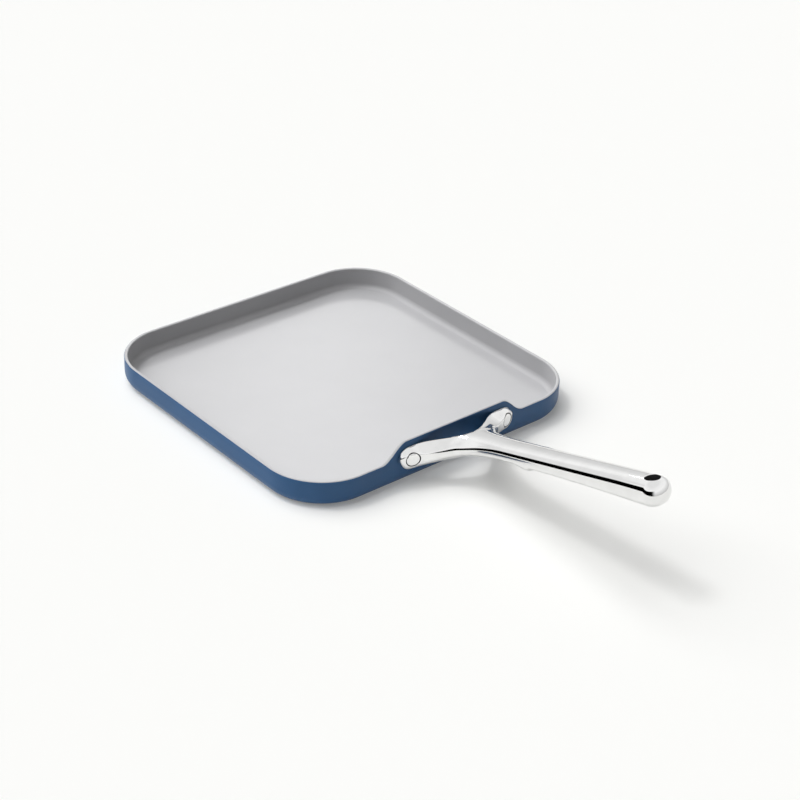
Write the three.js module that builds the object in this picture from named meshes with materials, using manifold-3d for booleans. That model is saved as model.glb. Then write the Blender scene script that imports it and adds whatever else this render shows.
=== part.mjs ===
// Square griddle pan: a shallow cast pan with a ceramic lining, a forked steel handle and two rivets.
// Millimetres, +Z up. The pan rests on Z = 0 with its centre at the origin. The handle runs out along +X.

import * as THREE from 'three';
import { mergeVertices } from 'three/addons/utils/BufferGeometryUtils.js';
import Module from 'manifold-3d';

const wasm = await Module();
wasm.setup();

// Pan
const PAN_WIDTH = 280;
const PAN_CORNER_RADIUS = 49.2;
const RIM_HEIGHT = 23;
const BASE_EDGE_RADIUS = 9.9;
const WALL_THICKNESS = 3.2;
const FLOOR_THICKNESS = 4.5;
const INNER_EDGE_RADIUS = 8;
const RIM_ROUND = 1.3;
const LINING_ENDS_AT_DEGREES = 135;

// Raised tab in the wall behind the handle's lobes
const TAB_MARGIN_ABOVE_LOBES = 5.8;
const TAB_MARGIN_BESIDE_RIVETS = 2.2;
const TAB_SHOULDER_WIDTH = 20;

// Ceramic lining, with the thin bond between it and the pan
const LINING_THICKNESS = 0.5;
const LINING_BOND = 0.05;

// Rivets
const RIVET_HEIGHT = 23.8;
const RIVET_SPREAD = 95.6;
const RIVET_SHANK_DIAMETER = 6.5;
const RIVET_CLEARANCE = 0.3;
const RIVET_DISC_DIAMETER = 10.2;
const RIVET_DISC_THICKNESS = 2.5;
const RIVET_RECESS_GAP = 0.7;
const RIVET_DOME_DIAMETER = 13;
const RIVET_DOME_HEIGHT = 2.6;
const RIVET_DOME_EDGE = 0.8;

// Handle. Lengths run along its slope from the wall, and lifts stand square to the slope from the line
// that starts at the rivets.
const HANDLE_SLOPE = THREE.MathUtils.degToRad(16.25);
const LOBE_DEPTH = 6.2;
const LOBE_END_DEPTH = 2.4;
const LOBE_END_LENGTH = 9.4;
const LOBE_FLAT_LENGTH = 5;
const LOBE_TOP = 7.1;
const LOBE_BOTTOM = -10.3;
const LOBE_WIDEST_AT = -1.4;
const LOBE_CLOSING_FROM = 0.65;
const LOBE_END_POWER = 1.8;
const ARM_SPLAY = THREE.MathUtils.degToRad(15.2);
const ARM_PULL = 28.4;
const ARM_SHARE = 0.643;
const ARM_UPRIGHT_SHARE = 0.5;
const FORK_WINDOW_DEPTH = 20.1;
const FORK_WINDOW_SETBACK = 6;
const FORK_WINDOW_ROUND = 1.2;
const FORK_WINDOW_ROUND_SHARE = 0.25;
const NECK_AT = 64.2;
const NECK_WIDTH = 25.7;
const NECK_PULL = 38.8;
const NECK_TOP = 6.3;
const NECK_BOTTOM = -6.6;
const NECK_WIDEST_AT = -1;
const FINGER_STOP_AT = 90;
const FINGER_STOP_LENGTH = 14;
const FINGER_STOP_DROP = 2.3;
const FINGER_STOP_FADE = 6;
const GRIP_BOTTOM = -7.6;
const GRIP_BEND = 1.72;
const END_AT = 209.1;
const END_LENGTH = 9.6;
const END_WIDTH = 25.1;
const END_TOP = 7.4;
const END_BOTTOM = -13.4;
const END_WIDEST_AT = -3.3;
const HOLE_AT = 208;
const HOLE_DIAMETER = 11.4;
const HOLE_CHAMFER = 1;
const ROUND_SHARE = 0.94;
const ROUNDING_ENDS_AT = 18.2;
const LOBE_SECTION_POWER = 3.4;
const ARM_SECTION_POWER = 2.33;
const END_SECTION_POWER = 2.1;
const WINDOW_EDGE_POWER = 3.5;

// Facets
const CORNER_STEPS = 9;
const FILLET_STEPS = 5;
const RIM_STEPS = 2;
const SHOULDER_STEPS = 7;
const ROUND_SIDES = 32;
const LOBE_STEPS = 5;
const ARM_STEPS = 10;
const NECK_STEPS = 6;
const GRIP_STEPS = 18;
const END_STEPS = 7;
const SECTION_STEPS = 12;
const WINDOW_EDGE_STEPS = 4;
const CLOSED_SHARE = 1e-6;

// Places that follow from the sizes
const wallFace = PAN_WIDTH / 2;
const rivetOffset = RIVET_SPREAD / 2;
const tabTopHeight = RIVET_HEIGHT + LOBE_TOP / Math.cos(HANDLE_SLOPE) + TAB_MARGIN_ABOVE_LOBES;
const tabTopHalf = rivetOffset + TAB_MARGIN_BESIDE_RIVETS;
const lobeReach = rivetOffset + LOBE_END_LENGTH;
const lobeFlatEnd = rivetOffset + LOBE_FLAT_LENGTH;
const windowHalf = rivetOffset - FORK_WINDOW_SETBACK;
const armUprightFrom = windowHalf * ARM_UPRIGHT_SHARE;
const discFaceDepth = (LOBE_DEPTH + LOBE_FLAT_LENGTH * Math.tan(ARM_SPLAY)) * Math.cos(HANDLE_SLOPE);
const discSeatDepth = discFaceDepth - RIVET_DISC_THICKNESS;

// Geometry helpers

/** A closed geometry from triangles of points, with shared points merged and empty triangles left out. */
function closedGeometry(triangles) {
  const loose = new THREE.BufferGeometry();
  const positions = triangles.flat().flatMap((point) => [point.x, point.y, point.z]);
  loose.setAttribute('position', new THREE.Float32BufferAttribute(positions, 3));
  return withoutEmptyTriangles(mergeVertices(loose));
}

function withoutEmptyTriangles(geometry) {
  const corners = geometry.index.array;
  const kept = [];
  for (let i = 0; i < corners.length; i += 3) {
    const [a, b, c] = corners.slice(i, i + 3);
    if (a !== b && b !== c && c !== a) kept.push(a, b, c);
  }
  geometry.setIndex(kept);
  return geometry;
}

/** Two triangles over the strip between points a, b of one row and c, d of the next. */
function quad(a, b, c, d) {
  return [[a, b, d], [a, d, c]];
}

/** Triangles between successive rings, each ring closed on itself, with a fan over both ends. */
function loftedShell(rings) {
  const triangles = [];
  const count = rings[0].length;
  for (let j = 0; j + 1 < rings.length; j += 1) {
    for (let i = 0; i < count; i += 1) {
      const next = (i + 1) % count;
      triangles.push(...quad(rings[j][i], rings[j][next], rings[j + 1][i], rings[j + 1][next]));
    }
  }
  const first = rings[0];
  const last = rings[rings.length - 1];
  for (let i = 0; i < count; i += 1) {
    const next = (i + 1) % count;
    triangles.push([middleOf(first), first[next], first[i]]);
    triangles.push([middleOf(last), last[i], last[next]]);
  }
  return closedGeometry(triangles);
}

function middleOf(ring) {
  return new THREE.Vector3(0, 0, ring[0].z);
}

function toSolid(geometry) {
  const bare = geometry.clone();
  bare.deleteAttribute('normal');
  bare.deleteAttribute('uv');
  const merged = withoutEmptyTriangles(mergeVertices(bare));
  const vertProperties = new Float32Array(merged.attributes.position.array);
  const triVerts = new Uint32Array(merged.index.array);
  return new wasm.Manifold(new wasm.Mesh({ numProp: 3, vertProperties, triVerts }));
}

function toGeometry(solid) {
  const mesh = solid.getMesh();
  const geometry = new THREE.BufferGeometry();
  geometry.setAttribute('position', new THREE.Float32BufferAttribute(mesh.vertProperties, 3));
  geometry.setIndex(new THREE.Uint32BufferAttribute(mesh.triVerts, 1));
  return geometry;
}

/** A solid turned about an axis along X through a rivet, from [distance out of the wall, radius] points. */
function turnedAlongX(profile, side) {
  const points = profile.map(([out, radius]) => new THREE.Vector2(radius, out));
  const geometry = new THREE.LatheGeometry(points, ROUND_SIDES);
  const ySpinToX = new THREE.Matrix4().makeBasis(
    new THREE.Vector3(0, 1, 0),
    new THREE.Vector3(1, 0, 0),
    new THREE.Vector3(0, 0, -1),
  );
  geometry.applyMatrix4(ySpinToX);
  geometry.translate(wallFace, side * rivetOffset, RIVET_HEIGHT);
  return geometry;
}

/** A smooth step from 0 at one place to 1 at another. */
function ease(value, from, to) {
  return THREE.MathUtils.smoothstep(value, from, to);
}

// Pan body and lining: rounded-square rings carried along a wall profile

/** Rim height at a point of the outline: a tab with S-shaped shoulders rises in the +X wall. */
function rimHeightAt(x, y) {
  if (x < 0) return RIM_HEIGHT;
  const rise = 1 - ease(Math.abs(y), tabTopHalf, tabTopHalf + TAB_SHOULDER_WIDTH);
  return RIM_HEIGHT + (tabTopHeight - RIM_HEIGHT) * rise;
}

/** Places along the +X side where the rim needs a point: the tab's top and both shoulders. */
function tabStations() {
  const stations = [0];
  for (let i = 0; i <= SHOULDER_STEPS; i += 1) {
    const y = tabTopHalf + (TAB_SHOULDER_WIDTH * i) / SHOULDER_STEPS;
    stations.push(y, -y);
  }
  const straightHalf = wallFace - PAN_CORNER_RADIUS;
  return stations.filter((y) => Math.abs(y) < straightHalf).sort((a, b) => a - b);
}

/** One ring of the rounded square, drawn in from the outline, counter-clockwise from the +X side. */
function squareRing({ inset, z, fromRim }) {
  const half = wallFace - inset;
  const centre = wallFace - PAN_CORNER_RADIUS;
  const radius = PAN_CORNER_RADIUS - inset;
  const plan = tabStations().map((y) => [half, y]);
  for (let corner = 0; corner < 4; corner += 1) {
    const turn = (corner * Math.PI) / 2;
    for (let i = 0; i <= CORNER_STEPS; i += 1) {
      const angle = turn + (i / CORNER_STEPS) * (Math.PI / 2);
      const signX = corner === 0 || corner === 3 ? 1 : -1;
      const signY = corner < 2 ? 1 : -1;
      plan.push([signX * centre + radius * Math.cos(angle), signY * centre + radius * Math.sin(angle)]);
    }
  }
  return plan.map(([x, y]) => new THREE.Vector3(x, y, z + (fromRim ? rimHeightAt(x, y) : 0)));
}

/** Profile points on an arc, as inset and height, between two angles in degrees. */
function arcProfile(centreInset, centreZ, radius, fromDegrees, toDegrees, steps, fromRim) {
  const points = [];
  for (let i = 0; i <= steps; i += 1) {
    const angle = THREE.MathUtils.degToRad(THREE.MathUtils.lerp(fromDegrees, toDegrees, i / steps));
    const inset = centreInset + radius * Math.cos(angle);
    const z = centreZ + radius * Math.sin(angle);
    points.push({ inset, z, fromRim });
  }
  return points;
}

/** The inside at a depth below its surface: over the rim from the lining's edge, then wall and floor. */
function insideProfile(depth) {
  const rim = RIM_ROUND - depth;
  const edge = INNER_EDGE_RADIUS + depth;
  return [
    ...arcProfile(RIM_ROUND, -RIM_ROUND, rim, LINING_ENDS_AT_DEGREES, 90, RIM_STEPS, true),
    ...arcProfile(WALL_THICKNESS - RIM_ROUND, -RIM_ROUND, rim, 90, 0, RIM_STEPS, true),
    ...arcProfile(
      WALL_THICKNESS + INNER_EDGE_RADIUS,
      FLOOR_THICKNESS + INNER_EDGE_RADIUS,
      edge,
      180,
      270,
      FILLET_STEPS,
      false,
    ),
  ];
}

function outsideProfile() {
  return [
    ...arcProfile(BASE_EDGE_RADIUS, BASE_EDGE_RADIUS, BASE_EDGE_RADIUS, 270, 180, FILLET_STEPS, false),
    ...arcProfile(RIM_ROUND, -RIM_ROUND, RIM_ROUND, 180, LINING_ENDS_AT_DEGREES, RIM_STEPS, true),
  ];
}

/** The round hole for a rivet's shank, from behind its domed head to the face of its disc. */
function rivetBore(side) {
  const radius = RIVET_SHANK_DIAMETER / 2 + RIVET_CLEARANCE;
  const inner = -WALL_THICKNESS - RIVET_DOME_HEIGHT;
  const outer = discFaceDepth;
  return toSolid(turnedAlongX([[inner, 0], [inner, radius], [outer, radius], [outer, 0]], side));
}

function withRivetBores(geometry) {
  const bored = [1, -1].reduce((solid, side) => solid.subtract(rivetBore(side)), toSolid(geometry));
  return toGeometry(bored);
}

function panBodyGeometry() {
  const profile = [...outsideProfile(), ...insideProfile(LINING_THICKNESS + LINING_BOND)];
  return withRivetBores(loftedShell(profile.map(squareRing)));
}

function liningGeometry() {
  const profile = [...insideProfile(LINING_THICKNESS).reverse(), ...insideProfile(0)];
  return withRivetBores(loftedShell(profile.map(squareRing)));
}

// Handle: one half is lofted from the lobe's end along the arm and the grip to the tip, and mirrored

/** Share of the way from one length along the handle to the start of its round end. */
function shareToEnd(along, from) {
  return THREE.MathUtils.clamp((along - from) / (END_AT - from), 0, 1);
}

/** A share that starts evenly and comes to rest at 1. */
function comingToRest(share) {
  return share + share ** 2 - share ** 3;
}

/** A share that starts from rest and goes on evenly. */
function startingFromRest(share) {
  return 1 - comingToRest(1 - share);
}

/** How far the top and the bottom stand off the slope line at a length along the handle. */
function topAt(along) {
  const neck = THREE.MathUtils.lerp(LOBE_TOP, NECK_TOP, ease(along, LOBE_DEPTH, NECK_AT));
  return THREE.MathUtils.lerp(neck, END_TOP, shareToEnd(along, NECK_AT));
}

function bottomAt(along) {
  const neck = THREE.MathUtils.lerp(LOBE_BOTTOM, NECK_BOTTOM, ease(along, LOBE_DEPTH, NECK_AT));
  const bend = shareToEnd(along, FINGER_STOP_AT) ** GRIP_BEND;
  const grip = THREE.MathUtils.lerp(GRIP_BOTTOM, END_BOTTOM, bend);
  const rise = ease(along, FINGER_STOP_AT - FINGER_STOP_LENGTH, FINGER_STOP_AT);
  const fade = ease(along, FINGER_STOP_AT, FINGER_STOP_AT + FINGER_STOP_FADE);
  return THREE.MathUtils.lerp(neck, grip, rise) - FINGER_STOP_DROP * rise * (1 - fade);
}

/** Height share left near the lobe's end, which closes as half a full ellipse seen from the front. */
function lobeClosing(across) {
  const closingLength = LOBE_END_LENGTH - LOBE_CLOSING_FROM;
  const past = Math.max(0, Math.abs(across) - rivetOffset - LOBE_CLOSING_FROM) / closingLength;
  return past > 1 - CLOSED_SHARE ? 0 : (1 - past ** LOBE_END_POWER) ** (1 / LOBE_END_POWER);
}

/** The fork window's edge: a bell curve from the wall beside each lobe to its peak on the centre line. */
function windowEdgeAt(across) {
  if (across >= windowHalf) return 0;
  return FORK_WINDOW_DEPTH * Math.cos((Math.PI / 2) * (across / windowHalf)) ** 2;
}

const lobeFront = new THREE.Vector2(LOBE_DEPTH, lobeFlatEnd);
const neckSide = new THREE.Vector2(NECK_AT, NECK_WIDTH / 2);
const endSide = new THREE.Vector2(END_AT, END_WIDTH / 2);
const armDirection = new THREE.Vector2(Math.sin(ARM_SPLAY), -Math.cos(ARM_SPLAY));
const lobeCorner = new THREE.CubicBezierCurve(
  new THREE.Vector2(LOBE_END_DEPTH, lobeReach),
  new THREE.Vector2((LOBE_END_DEPTH + LOBE_DEPTH) / 2, lobeReach),
  lobeFront.clone().addScaledVector(armDirection, -(lobeReach - lobeFlatEnd) / 2),
  lobeFront,
);
const armFront = new THREE.CubicBezierCurve(
  lobeFront,
  lobeFront.clone().addScaledVector(armDirection, ARM_PULL),
  new THREE.Vector2(NECK_AT - NECK_PULL, neckSide.y),
  neckSide,
);

/**
 * A point of the handle: length along the slope, distance across, and lift from the slope line. An upright
 * share of 1 stands the lift straight up, and of 0 square to the slope.
 */
function handlePoint(along, across, lift, upright) {
  const depth = along * Math.cos(HANDLE_SLOPE) - (1 - upright) * lift * Math.sin(HANDLE_SLOPE);
  const height = RIVET_HEIGHT + depth * Math.tan(HANDLE_SLOPE) + lift / Math.cos(HANDLE_SLOPE);
  return new THREE.Vector3(wallFace + depth, across, height);
}

/**
 * Front and back points in plan for each station, how upright the lift stands at the back, and whether the
 * back is open to the wall or the fork window. A closed back lies on the centre line.
 */
function stations() {
  const list = [];
  for (let i = 0; i < LOBE_STEPS; i += 1) {
    const front = lobeCorner.getPoint(i / LOBE_STEPS);
    list.push({ front, back: new THREE.Vector2(0, front.y), backUpright: 1, open: true });
  }
  for (let i = 0; i <= ARM_STEPS; i += 1) {
    const share = i / ARM_STEPS;
    const across = lobeFlatEnd * (1 - comingToRest(share));
    const back = new THREE.Vector2(windowEdgeAt(across), across);
    list.push({ front: armFront.getPoint(share * ARM_SHARE), back, backUpright: 1, open: true });
  }
  const crotch = FORK_WINDOW_DEPTH + FORK_WINDOW_ROUND;
  for (let i = 1; i <= NECK_STEPS; i += 1) {
    const share = i / NECK_STEPS;
    const along = THREE.MathUtils.lerp(crotch, NECK_AT, startingFromRest(share));
    const front = armFront.getPoint(THREE.MathUtils.lerp(ARM_SHARE, 1, share));
    list.push({ front, back: new THREE.Vector2(along, 0), backUpright: 1 - ease(share, 0, 1), open: false });
  }
  for (let i = 1; i <= GRIP_STEPS; i += 1) {
    const front = neckSide.clone().lerp(endSide, i / GRIP_STEPS);
    list.push({ front, back: new THREE.Vector2(front.x, 0), backUpright: 0, open: false });
  }
  for (let i = 1; i <= END_STEPS; i += 1) {
    const angle = (Math.PI / 2) * (1 - i / END_STEPS);
    const back = new THREE.Vector2(END_AT, 0);
    const front = new THREE.Vector2(END_LENGTH * Math.cos(angle), endSide.y * Math.sin(angle)).add(back);
    list.push({ front, back, backUpright: 0, open: false });
  }
  return list;
}

/** Share of the way in and of the height on a rounded edge, from its top at step 0 to its bottom. */
function edgePoint(step, steps, power) {
  const angle = Math.PI / 2 - (Math.PI * step) / steps;
  const inward = 1 - Math.abs(Math.cos(angle)) ** (2 / power);
  const height = Math.sign(Math.sin(angle)) * Math.abs(Math.sin(angle)) ** (2 / power);
  return { inward, height };
}

/** Lift of a share of the height, from the bottom at -1 by the widest place at 0 to the top at 1. */
function liftAt(along, across, height) {
  const closing = lobeClosing(across);
  const limit = (height < 0 ? bottomAt(along) : topAt(along)) * closing;
  const arm = THREE.MathUtils.lerp(LOBE_WIDEST_AT, NECK_WIDEST_AT, ease(along, LOBE_DEPTH, NECK_AT));
  const widest = THREE.MathUtils.lerp(arm, END_WIDEST_AT, shareToEnd(along, NECK_AT)) * closing;
  return THREE.MathUtils.lerp(widest, limit, Math.abs(height));
}

/** One section: the outer chain from the back's top over the front to the back's bottom, and the back. */
function section({ front, back, backUpright, open }) {
  const rounding = ease(front.x, LOBE_DEPTH, ROUNDING_ENDS_AT);
  const armPower = THREE.MathUtils.lerp(LOBE_SECTION_POWER, ARM_SECTION_POWER, rounding);
  const endward = ease(front.x, END_AT - END_WIDTH, END_AT + END_LENGTH);
  const power = THREE.MathUtils.lerp(armPower, END_SECTION_POWER, endward);
  const frontUpright = ease(front.y, armUprightFrom, rivetOffset);
  const chain = [];
  for (let i = 0; i <= SECTION_STEPS; i += 1) {
    const { inward, height } = edgePoint(i, SECTION_STEPS, power);
    const share = inward * ROUND_SHARE;
    const spot = front.clone().lerp(back, share);
    const upright = THREE.MathUtils.lerp(frontUpright, backUpright, share);
    chain.push(handlePoint(spot.x, spot.y, liftAt(spot.x, front.y, height), upright));
  }
  const width = front.distanceTo(back);
  const windowRound = open ? Math.min(FORK_WINDOW_ROUND, width * FORK_WINDOW_ROUND_SHARE) : 0;
  const backEdge = [];
  for (let i = 0; i <= WINDOW_EDGE_STEPS; i += 1) {
    const { inward, height } = edgePoint(WINDOW_EDGE_STEPS - i, WINDOW_EDGE_STEPS, WINDOW_EDGE_POWER);
    const lift = liftAt(back.x, back.y, height);
    backEdge.push(handlePoint(back.x + inward * windowRound, back.y, lift, backUpright));
  }
  chain.unshift(backEdge[WINDOW_EDGE_STEPS]);
  chain.push(backEdge[0]);
  return { chain, backEdge, open };
}

function halfHandle() {
  const sections = stations().map(section);
  const triangles = [];
  for (let j = 0; j + 1 < sections.length; j += 1) {
    triangles.push(...strip(sections[j].chain, sections[j + 1].chain));
    if (sections[j].open && sections[j + 1].open) {
      triangles.push(...strip(sections[j].backEdge, sections[j + 1].backEdge));
    }
  }
  return triangles;
}

/** Triangles between two rows of points. */
function strip(here, next) {
  const triangles = [];
  for (let i = 0; i + 1 < here.length; i += 1) {
    triangles.push(...quad(here[i + 1], here[i], next[i + 1], next[i]));
  }
  return triangles;
}

function mirroredAcross(triangles) {
  const across = new THREE.Vector3(1, -1, 1);
  return triangles.map(([a, b, c]) => [a, c, b].map((point) => point.clone().multiply(across)));
}

/** The hanging hole with its chamfers, square to the slope, taller than the handle's end. */
function hangingHole() {
  const radius = HOLE_DIAMETER / 2;
  const wide = radius + HOLE_CHAMFER + END_WIDTH;
  const profile = [
    new THREE.Vector2(0, END_BOTTOM - END_WIDTH),
    new THREE.Vector2(wide, END_BOTTOM - END_WIDTH),
    new THREE.Vector2(radius, END_BOTTOM + HOLE_CHAMFER),
    new THREE.Vector2(radius, END_TOP - HOLE_CHAMFER),
    new THREE.Vector2(wide, END_TOP + END_WIDTH),
    new THREE.Vector2(0, END_TOP + END_WIDTH),
  ];
  const geometry = new THREE.LatheGeometry(profile, ROUND_SIDES);
  geometry.rotateX(Math.PI / 2);
  geometry.rotateY(-HANDLE_SLOPE);
  const centre = handlePoint(HOLE_AT, 0, 0, 0);
  geometry.translate(centre.x, centre.y, centre.z);
  return toSolid(geometry);
}

/** The round recess in a lobe that takes a rivet's disc. */
function discRecess(side) {
  const radius = RIVET_DISC_DIAMETER / 2 + RIVET_RECESS_GAP;
  const seat = discSeatDepth;
  const outer = discFaceDepth + NECK_AT;
  return toSolid(turnedAlongX([[seat, 0], [seat, radius], [outer, radius], [outer, 0]], side));
}

/** The handle before its holes are cut. */
function handleBlank() {
  const half = halfHandle();
  return toSolid(closedGeometry([...half, ...mirroredAcross(half)]));
}

function handleGeometry() {
  const cuts = [hangingHole(), ...[1, -1].flatMap((side) => [rivetBore(side), discRecess(side)])];
  return toGeometry(cuts.reduce((solid, cut) => solid.subtract(cut), handleBlank()));
}

// Rivets: a domed head inside the pan, a shank through lining, wall and lobe, and a disc flush with the lobe

/** All the space before the lobes' faces, where nothing of a rivet may stand. */
function spaceBeforeLobes() {
  const depth = 2 * RIVET_DISC_DIAMETER;
  const space = wasm.Manifold.cube([depth, 2 * lobeReach, 2 * RIVET_HEIGHT]);
  return space.translate([wallFace + discSeatDepth, -lobeReach, 0]).subtract(handleBlank());
}

function rivetGeometry(side) {
  const shank = RIVET_SHANK_DIAMETER / 2;
  const dome = RIVET_DOME_DIAMETER / 2;
  const disc = RIVET_DISC_DIAMETER / 2;
  const domeSeat = -WALL_THICKNESS;
  const domeRise = RIVET_DOME_HEIGHT - RIVET_DOME_EDGE;
  const profile = [];
  for (let i = 0; i <= FILLET_STEPS; i += 1) {
    const angle = (Math.PI / 2) * (i / FILLET_STEPS);
    const out = domeSeat - RIVET_DOME_EDGE - domeRise * Math.cos(angle);
    profile.push([out, dome * Math.sin(angle)]);
  }
  profile.push([domeSeat, dome]);
  profile.push([domeSeat, shank]);
  profile.push([discSeatDepth, shank]);
  profile.push([discSeatDepth, disc]);
  profile.push([discFaceDepth + disc, disc]);
  profile.push([discFaceDepth + disc, 0]);
  return toGeometry(toSolid(turnedAlongX(profile, side)).subtract(spaceBeforeLobes()));
}

// Assembly

function piece(name, geometry, color, roughness, metalness) {
  const mesh = new THREE.Mesh(geometry, new THREE.MeshStandardMaterial({ color, roughness, metalness }));
  mesh.name = name;
  return mesh;
}

const griddlePan = new THREE.Group();
griddlePan.add(
  piece('pan_body', panBodyGeometry(), '#2c4a72', 0.38, 0.1),
  piece('ceramic_lining', liningGeometry(), '#c6c8cd', 0.45, 0),
  piece('handle', handleGeometry(), '#d8d9da', 0.08, 1),
  piece('rivet_left', rivetGeometry(-1), '#d4d5d6', 0.15, 1),
  piece('rivet_right', rivetGeometry(1), '#d4d5d6', 0.15, 1),
);

export default griddlePan;
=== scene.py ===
"""Looks of a square griddle pan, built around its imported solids.

Metres, +Z up. The pan rests on Z = 0 with its centre at the origin, and the forked handle runs out
along +X.
"""

import logging
import math
from abc import ABC, abstractmethod
from dataclasses import dataclass, field
from enum import Enum
from typing import Any, Dict, List, Optional, Sequence, Tuple, Union

import bmesh
import bpy
import numpy as np
from mathutils import Matrix, Vector
from mathutils.bvhtree import BVHTree


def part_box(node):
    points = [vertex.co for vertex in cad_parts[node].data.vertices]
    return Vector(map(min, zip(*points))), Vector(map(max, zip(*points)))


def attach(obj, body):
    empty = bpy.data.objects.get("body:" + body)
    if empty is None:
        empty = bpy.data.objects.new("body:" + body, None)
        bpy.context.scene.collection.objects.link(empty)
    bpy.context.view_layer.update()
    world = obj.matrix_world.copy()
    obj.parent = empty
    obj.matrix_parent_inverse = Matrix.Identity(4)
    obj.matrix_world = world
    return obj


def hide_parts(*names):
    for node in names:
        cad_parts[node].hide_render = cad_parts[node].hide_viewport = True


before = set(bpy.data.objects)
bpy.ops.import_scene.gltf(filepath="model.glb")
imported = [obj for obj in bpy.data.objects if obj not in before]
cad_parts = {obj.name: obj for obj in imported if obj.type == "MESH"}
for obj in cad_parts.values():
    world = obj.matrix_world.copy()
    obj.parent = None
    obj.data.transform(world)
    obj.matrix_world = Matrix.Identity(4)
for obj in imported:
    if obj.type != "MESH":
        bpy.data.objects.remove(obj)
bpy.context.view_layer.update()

LOG = logging.getLogger("griddle_pan")
MM = 0.001
BODY = "root"
MERGE_DISTANCE = 1e-7
SEAM_DISTANCE = 10 * MERGE_DISTANCE
CREASE_ANGLE = math.radians(32)

Key = Union[str, int]
Colour = Tuple[float, float, float]
Point = Tuple[float, float]


class Side(Enum):
    """Which of the two lobes a thing belongs to, seen from the handle's end."""

    LEFT = -1
    RIGHT = 1


class Rays(Enum):
    """The kinds of rays that may meet a studio card."""

    CAMERA = "visible_camera"
    LIGHT = "visible_diffuse"
    REFLECTION = "visible_glossy"
    TRANSMISSION = "visible_transmission"
    VOLUME = "visible_volume_scatter"
    SHADOW = "visible_shadow"


# Node trees


class Wire:
    """One output of a node, with arithmetic that adds Math nodes to the same tree."""

    def __init__(self, graph: "Graph", node: bpy.types.Node, output: Key = 0) -> None:
        """Keeps hold of one output.

        Args:
            graph: The tree that the node is in.
            node: The node.
            output: The name or number of its output.
        """
        self.graph = graph
        self.node = node
        self.output = output

    @property
    def socket(self) -> bpy.types.NodeSocket:
        """The output socket itself."""
        return self.node.outputs[self.output]

    def other(self, output: Key) -> "Wire":
        """Another output of the same node."""
        return Wire(self.graph, self.node, output)

    def __add__(self, term: Any) -> "Wire":
        """This value plus a term."""
        return self.graph.math("ADD", self, term)

    def __radd__(self, term: Any) -> "Wire":
        """A term plus this value."""
        return self.graph.math("ADD", term, self)

    def __sub__(self, term: Any) -> "Wire":
        """This value less a term."""
        return self.graph.math("SUBTRACT", self, term)

    def __rsub__(self, term: Any) -> "Wire":
        """A term less this value."""
        return self.graph.math("SUBTRACT", term, self)

    def __mul__(self, term: Any) -> "Wire":
        """This value times a term."""
        return self.graph.math("MULTIPLY", self, term)

    def __rmul__(self, term: Any) -> "Wire":
        """A term times this value."""
        return self.graph.math("MULTIPLY", term, self)

    def __truediv__(self, term: Any) -> "Wire":
        """This value over a term."""
        return self.graph.math("DIVIDE", self, term)

    def __gt__(self, term: Any) -> "Wire":
        """1 where this value is above a term, and 0 elsewhere."""
        return self.graph.math("GREATER_THAN", self, term)

    def __lt__(self, term: Any) -> "Wire":
        """1 where this value is below a term, and 0 elsewhere."""
        return self.graph.math("LESS_THAN", self, term)

    def __abs__(self) -> "Wire":
        """This value without its sign."""
        return self.graph.math("ABSOLUTE", self)

    def ramp(self, start: Any, end: Any, smooth: bool = False) -> "Wire":
        """A rise from 0 where this value is at the start to 1 at the end.

        Args:
            start: The value at which the rise begins.
            end: The value at which it is complete.
            smooth: Whether the rise eases in and out.

        Returns:
            The share of the rise.
        """
        kind = "SMOOTHSTEP" if smooth else "LINEAR"
        sockets = {"Value": self, "From Min": start, "From Max": end}
        return self.graph.node("ShaderNodeMapRange", {"interpolation_type": kind}, sockets)


class Graph:
    """A node tree that is written from Python."""

    def __init__(self, tree: bpy.types.NodeTree) -> None:
        """Starts with an empty tree."""
        self.tree = tree
        tree.nodes.clear()

    def node(
        self,
        kind: str,
        settings: Optional[Dict[str, Any]] = None,
        sockets: Optional[Dict[Key, Any]] = None,
        output: Key = 0,
    ) -> Wire:
        """Adds one node.

        Args:
            kind: Blender's name for the node's type.
            settings: Properties of the node, set before its sockets.
            sockets: A value, a wire or a list of wires for each input named.
            output: The output that the result stands for.

        Returns:
            A wire from that output.
        """
        made = self.tree.nodes.new(kind)
        for name, setting in (settings or {}).items():
            setattr(made, name, setting)
        for key, value in (sockets or {}).items():
            self.feed(made.inputs[key], value)
        return Wire(self, made, output)

    def feed(self, socket: bpy.types.NodeSocket, value: Any) -> None:
        """Links wires to a socket, or sets a plain value on it.

        Args:
            socket: The input to feed.
            value: A plain value, a wire or a list of wires.
        """
        wires = value if isinstance(value, list) else [value]
        if isinstance(wires[0], Wire):
            for wire in wires:
                self.tree.links.new(wire.socket, socket)
        else:
            socket.default_value = value

    def math(self, operation: str, *terms: Any) -> Wire:
        """A Math node on one to three terms."""
        return self.node("ShaderNodeMath", {"operation": operation}, dict(enumerate(terms)))

    def vector(self, x: Any = 0.0, y: Any = 0.0, z: Any = 0.0) -> Wire:
        """A vector from three values."""
        return self.node("ShaderNodeCombineXYZ", sockets={"X": x, "Y": y, "Z": z})

    def split(self, vector: Wire) -> Tuple[Wire, Wire, Wire]:
        """The three parts of a vector."""
        parts = self.node("ShaderNodeSeparateXYZ", sockets={"Vector": vector})
        return parts, parts.other("Y"), parts.other("Z")

    def met_by(self, *kinds: str) -> Wire:
        """Tells some kinds of rays from the rest.

        Args:
            kinds: The kinds as the Light Path node names them, such as Camera or Glossy.

        Returns:
            1 for those rays, and 0 for all others.
        """
        path = self.node("ShaderNodeLightPath")
        met = path.other(f"Is {kinds[0]} Ray")
        for kind in kinds[1:]:
            met = self.math("MAXIMUM", met, path.other(f"Is {kind} Ray"))
        return met


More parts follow.
